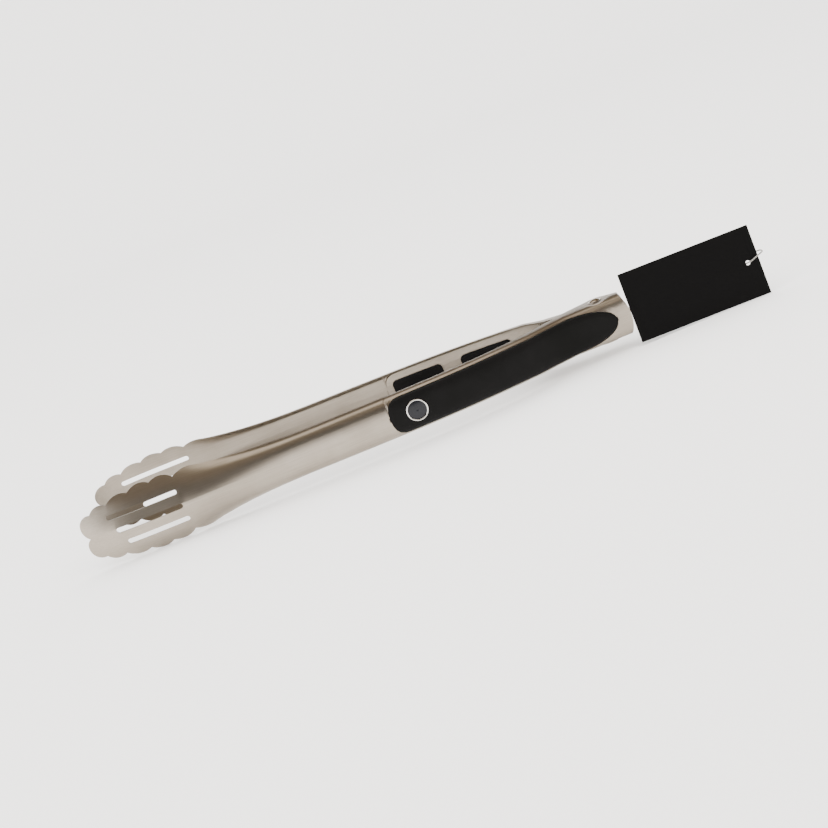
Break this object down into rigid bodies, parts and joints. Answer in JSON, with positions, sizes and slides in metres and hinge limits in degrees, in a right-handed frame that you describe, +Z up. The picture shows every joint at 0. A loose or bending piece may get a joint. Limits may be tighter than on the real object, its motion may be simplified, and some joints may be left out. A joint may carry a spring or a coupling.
{
  "type": "spring loaded kitchen tongs",
  "caption": "Steel kitchen tongs with two sprung arms, slotted scalloped heads, soft grips, a sliding pull lock and a hang tag on a string.",
  "frame": {"origin": "centre of the footprint of the tongs without the hang tag, on the surface they lie on", "axes": "+X along the tongs from the heads to the pull ring, Y the direction the arms open in, +Z up along the hinge rivet"},
  "size_m": [0.4492, 0.079, 0.0458],
  "materials": {
    "steel": "satin stamped sheet",
    "hardware_steel": "bright rivet and wire",
    "spring_steel": "drawn spring wire",
    "lock_steel": "satin plate",
    "grip": "soft matte",
    "badge_ring": "polished",
    "badge_disc": "glossy",
    "card": "matte printed card",
    "string": "twisted cord"
  },
  "bodies": {
    "pivot": {"hinge_rivet": "hardware_steel", "rivet_washer_top": "hardware_steel", "rivet_washer_bottom": "hardware_steel", "spacer_sleeve": "hardware_steel", "torsion_spring": "spring_steel"},
    "front_arm": {"arm_front": "steel", "grip_front": "grip", "badge_ring_front": "badge_ring", "badge_disc_front": "badge_disc", "catch_wire_front": "hardware_steel"},
    "back_arm": {"arm_back": "steel", "grip_back_arm": "grip", "badge_ring_back": "badge_ring", "badge_disc_back": "badge_disc", "catch_wire_back": "hardware_steel"},
    "lock": {"lock_blade": "lock_steel", "pull_ring": "hardware_steel"},
    "tag": {"tag_card": "card", "tag_string": "string"}
  },
  "joints": [
    {"name": "front_arm_hinge", "type": "hinge", "parent": "pivot", "child": "front_arm", "pos_m": [0.1487, 0, 0.02153], "axis": [0, 0, 1], "range_deg": [-4.9, 0], "stiffness_Nm_per_rad": 1.2, "springref_deg": 20.05, "deforming": ["torsion_spring"]},
    {"name": "back_arm_hinge", "type": "hinge", "parent": "pivot", "child": "back_arm", "pos_m": [0.1487, 0, 0.02153], "axis": [0, 0, -1], "range_deg": [-4.9, 0], "stiffness_Nm_per_rad": 1.2, "springref_deg": 20.05},
    {"name": "lock_slide", "type": "slide", "parent": "pivot", "child": "lock", "axis": [1, 0, 0], "range_m": [0, 0.008]},
    {"name": "tag_swing", "type": "hinge", "parent": "lock", "child": "tag", "pos_m": [0.1926, 0, 0.02153], "axis": [0, 0, 1], "range_deg": [0, 10]}
  ],
  "couplings": [
    {"joint": "back_arm_hinge", "follows": "front_arm_hinge", "ratio": 1}
  ]
}
